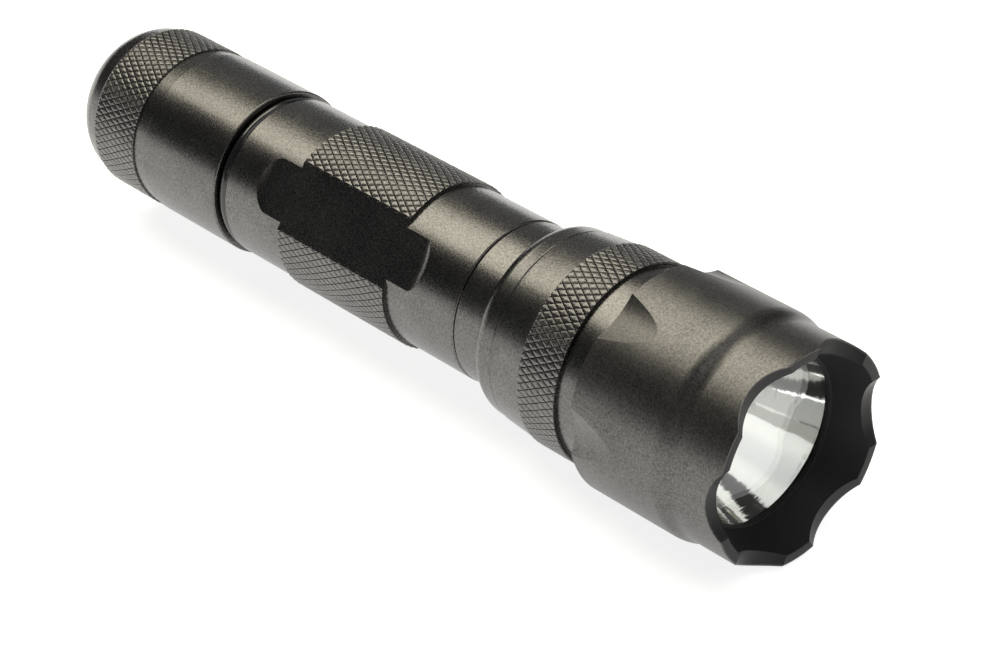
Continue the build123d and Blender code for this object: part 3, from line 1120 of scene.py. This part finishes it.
@dataclass
class Bezel:
    """Bezel with its crown and arched flutes."""

    rear_x: float = 112.06
    radius: float = 16.55
    step: Span = (127.4, 129.3)
    ring_r: float = 15.85
    crest_x: float = 137.3
    mouth_r: float = 14.4
    mouth_root: Point = (131.6, 12.4)
    lip_r: float = 12.1
    lens_x: float = 130.8
    bore_r: float = 14.18
    roll: float = 32.0    # of the first notch and flute
    count: int = 6
    notch_r: float = 8.0
    notch_depth: float = 1.95
    crown_edge: float = 0.07
    flute_r: float = 11.0
    flute_length: float = 7.6
    flute_slope: float = 8.4    # degrees
    flute_rear: float = 112.0
    crown_margin: float = 0.2
    crown_angle: float = 40.0    # degrees
    edge: float = 0.1
    rear_edge: float = 0.08
    step_round: float = 0.7
    rod_height: float = 14.0
    rod_lengths: tuple[float, float] = (16.0, 40.0)    # of the notch and flute cutters
    rod_facets: int = 192
    facets: int = 288

    def build(self, shop: Workshop) -> None:
        """Build the bezel.

        Args:
            shop: Workshop that finishes it.
        """
        turned = lathe(self._outline(), self.facets)
        shell = milled(turned, self._notches() + self._flutes())
        self._ease_crown(shell)
        shop.add("bezel_shell", shell, Body.BEZEL, "anodised_body", ["bezel"], smooth=8.0,
                 weighted=True, finishes=["anodised_bezel"])

    def _outline(self) -> Outline:
        """Work out the corners of the turned bezel.

        Returns:
            The corners from the rear end forwards outside, and back through the mouth.
        """
        return [(self.rear_x, self.bore_r), (self.rear_x, self.radius, self.rear_edge),
                (self.step[0], self.radius, self.step_round),
                (self.step[1], self.ring_r, self.step_round),
                (self.crest_x, self.ring_r, self.edge), (self.crest_x, self.mouth_r, self.edge),
                self.mouth_root, (self.mouth_root[0], self.lip_r, self.edge),
                (self.lens_x, self.lip_r), (self.lens_x, self.bore_r)]

    def _ease_crown(self, shell: BMesh) -> None:
        """Break the sharp edges of the crown's notches.

        Args:
            shell: The cut bezel.
        """
        rear = self.crest_x - self.notch_depth - self.crown_margin
        edges = [edge for edge in sharp_edges(shell, self.crown_angle)
                 if min(vert.co.x for vert in edge.verts) > rear]
        bmesh.ops.bevel(shell, geom=edges, offset=self.crown_edge, offset_type="OFFSET", segments=2,
                        profile=0.5, affect="EDGES", clamp_overlap=True, material=-1)

    def _notches(self) -> list[BMesh]:
        """Shape the cutters that leave the crests of the crown.

        Returns:
            Round cutters that point at the axis.
        """
        middle = self.crest_x + self.notch_r - self.notch_depth
        place = Matrix.Translation((middle, 0, self.rod_height))
        return [self._rod(self.notch_r, self.rod_lengths[0], roll @ place)
                for roll in rolls(self.roll, self.count)]

    def _flutes(self) -> list[BMesh]:
        """Shape the cutters that leave the arched flutes.

        Returns:
            Round cutters that lean on the rear edge.
        """
        lift = self.radius + self.flute_r / cos(radians(self.flute_slope))
        lean = Matrix.Rotation(radians(90 - self.flute_slope), 4, "Y")
        place = Matrix.Translation((self.flute_rear + self.flute_length, 0, lift)) @ lean
        return [self._rod(self.flute_r, self.rod_lengths[1], roll @ place)
                for roll in rolls(self.roll, self.count)]

    def _rod(self, radius: float, length: float, place: Matrix) -> BMesh:
        """Make a round cutter about its own Z axis.

        Args:
            radius: Its radius.
            length: Its length.
            place: Where it goes.

        Returns:
            The closed cutter.
        """
        bm = bmesh.new()
        bmesh.ops.create_cone(bm, cap_ends=True, segments=self.rod_facets, radius1=radius,
                              radius2=radius, depth=length, matrix=place)
        return bm


@dataclass
class Optics:
    """Reflector bowl and front glass."""

    hole_r: float = 3.6
    aperture_r: float = 12.53
    focal: float = 1.776
    vertex: float = 107.5
    rim: Point = (129.6, 12.9)
    flange: Groove = (126.0, 127.7, 13.6)
    cone: tuple[Point, ...] = ((125.4, 12.4), (113.4, 8.9))
    neck_x: float = 108.7
    lens: Groove = (129.65, 130.8, 14.0)
    lens_edge: float = 0.25
    bowl_steps: int = 40
    facets: int = 240

    def build(self, shop: Workshop) -> None:
        """Build the reflector and the lens.

        Args:
            shop: Workshop that finishes them.
        """
        shop.add("reflector_bowl", lathe(self._bowl(), self.facets), Body.MODULE, "mirror_coat",
                 ["reflector"])
        (start, end, radius), cut = self.lens, self.lens_edge
        glass = lathe([(start, 0), (start, radius - cut), (start + cut, radius),
                       (end - cut, radius), (end, radius - cut), (end, 0)])
        shop.add("front_glass", glass, Body.LENS, "lens_glass", ["lens"])

    def _bowl(self) -> Outline:
        """Work out the corners of the reflector.

        Returns:
            The corners of the paraboloid first, then of its rim, back and neck.
        """
        bowl = []
        for i in range(self.bowl_steps + 1):
            radius = self.hole_r + (self.aperture_r - self.hole_r) * i / self.bowl_steps
            bowl.append((self.vertex + radius ** 2 / (4 * self.focal), radius))
        front, rim_r = self.rim
        flange_x, flange_end, flange_r = self.flange
        return bowl + [(front, self.aperture_r), (front, rim_r), (flange_end, rim_r),
                       (flange_end, flange_r), (flange_x, flange_r), *self.cone,
                       (self.neck_x, self.cone[1][1]), (self.neck_x, self.hole_r)]


# ---------- studio

@dataclass
class Panel:
    """Soft rectangular light."""

    name: str
    towards: tuple[float, float, float]    # direction, seen from the torch
    distance: float                        # from the torch
    size: tuple[float, float]              # width and height
    radiance: float
    tint: Colour = (1, 1, 1)
    roll: float = 0.0                      # degrees about the direction

    def build(self, target: Vector) -> None:
        """Hang the panel so that it faces a point.

        Args:
            target: The point, in metres.
        """
        lamp = bpy.data.lights.new(self.name, "AREA")
        lamp.shape = "RECTANGLE"
        lamp.size = self.size[0] * MM
        lamp.size_y = self.size[1] * MM
        lamp.energy = self.radiance * pi * lamp.size * lamp.size_y
        lamp.color = self.tint
        stand = bpy.data.objects.new(self.name, lamp)
        towards = Vector(self.towards).normalized()
        stand.location = target + towards * self.distance * MM
        stand.rotation_mode = "QUATERNION"
        turn = Quaternion((0, 0, 1), radians(self.roll))
        stand.rotation_quaternion = towards.to_track_quat("Z", "Y") @ turn
        bpy.context.collection.objects.link(stand)


@dataclass
class Studio:
    """Floor, surroundings, lights and camera."""

    azimuth: float = 46.43      # degrees from -Y towards +X
    elevation: float = 32.22    # degrees
    look_at: tuple[float, float] = (21.43, -7.11)    # X and Y in the frame
    distance: float = 413.2
    lens: float = 110.3         # focal length
    floor_size: float = 6000.0
    paper: Paper = Paper()
    room: Colour = (0.05, 0.05, 0.053)
    panels: tuple[Panel, ...] = (
        Panel("key_panel", (-0.50, 0.02, 0.866), 600, (540, 320), 3.9, (1.0, 0.955, 0.8), -30),
        Panel("front_strip", (0.42, -0.22, 0.88), 600, (330, 30), 3.0, roll=-18),
        Panel("front_canopy", (0.55, 0.1, 0.83), 900, (1300, 1000), 0.55, (1.0, 0.98, 0.94)),
        Panel("side_wall", (0.62, 0.74, 0.2), 700, (250, 395), 0.5, (1.0, 0.97, 0.9)),
        Panel("low_window", (0.41, -0.89, 0.17), 700, (30, 420), 1.6, (1.0, 0.9, 0.72), 80),
        Panel("back_fill", (-0.60, 0.70, 0.40), 900, (800, 500), 0.2),
        Panel("back_strip", (-0.60, 0.80, 0.0), 700, (900, 50), 2.2),
    )

    def build(self) -> None:
        """Set up the studio."""
        self._floor()
        self._surroundings()
        target = Vector((0, 0, AXIS_Z))
        for panel in self.panels:
            panel.build(target)
        self._camera()
        bpy.context.scene.view_settings.view_transform = "Standard"

    def _floor(self) -> None:
        """Pale floor under the torch."""
        bm = bmesh.new()
        bmesh.ops.create_grid(bm, x_segments=1, y_segments=1, size=self.floor_size * MM / 2)
        floor = as_object("floor", bm)
        floor.data.materials.append(self.paper.make())

    def _surroundings(self) -> None:
        """Dark room round the floor."""
        world = bpy.data.worlds.new("studio_room")
        world.use_nodes = True
        world.node_tree.nodes["Background"].inputs["Color"].default_value = (*self.room, 1)
        bpy.context.scene.world = world

    def _camera(self) -> None:
        """Camera with a long lens, held level, that looks down at the torch."""
        turn, tilt = radians(self.azimuth), radians(self.elevation)
        back = Vector((sin(turn) * cos(tilt), -cos(turn) * cos(tilt), sin(tilt)))
        data = bpy.data.cameras.new("camera")
        data.lens = self.lens
        data.sensor_width = 36.0
        data.clip_start = 10 * MM
        data.clip_end = 50000 * MM
        camera = bpy.data.objects.new("camera", data)
        aim = Vector((self.look_at[0] * MM, self.look_at[1] * MM, AXIS_Z))
        camera.location = aim + back * self.distance * MM
        camera.rotation_mode = "QUATERNION"
        camera.rotation_quaternion = back.to_track_quat("Z", "Y")
        bpy.context.collection.objects.link(camera)
        bpy.context.scene.camera = camera


def main() -> None:
    """Dress the torch and set up the studio."""
    logging.basicConfig(level=logging.INFO, format="%(message)s")
    shop = Workshop(Palette())
    for assembly in (TailCap(), Boot(), SwitchSpring(), Tube(), Head(), Bezel(), Optics()):
        assembly.build(shop)
    LOG.info("torch dressed with %d pieces", len(shop.made))
    Studio().build()


if __name__ == "__main__":
    main()
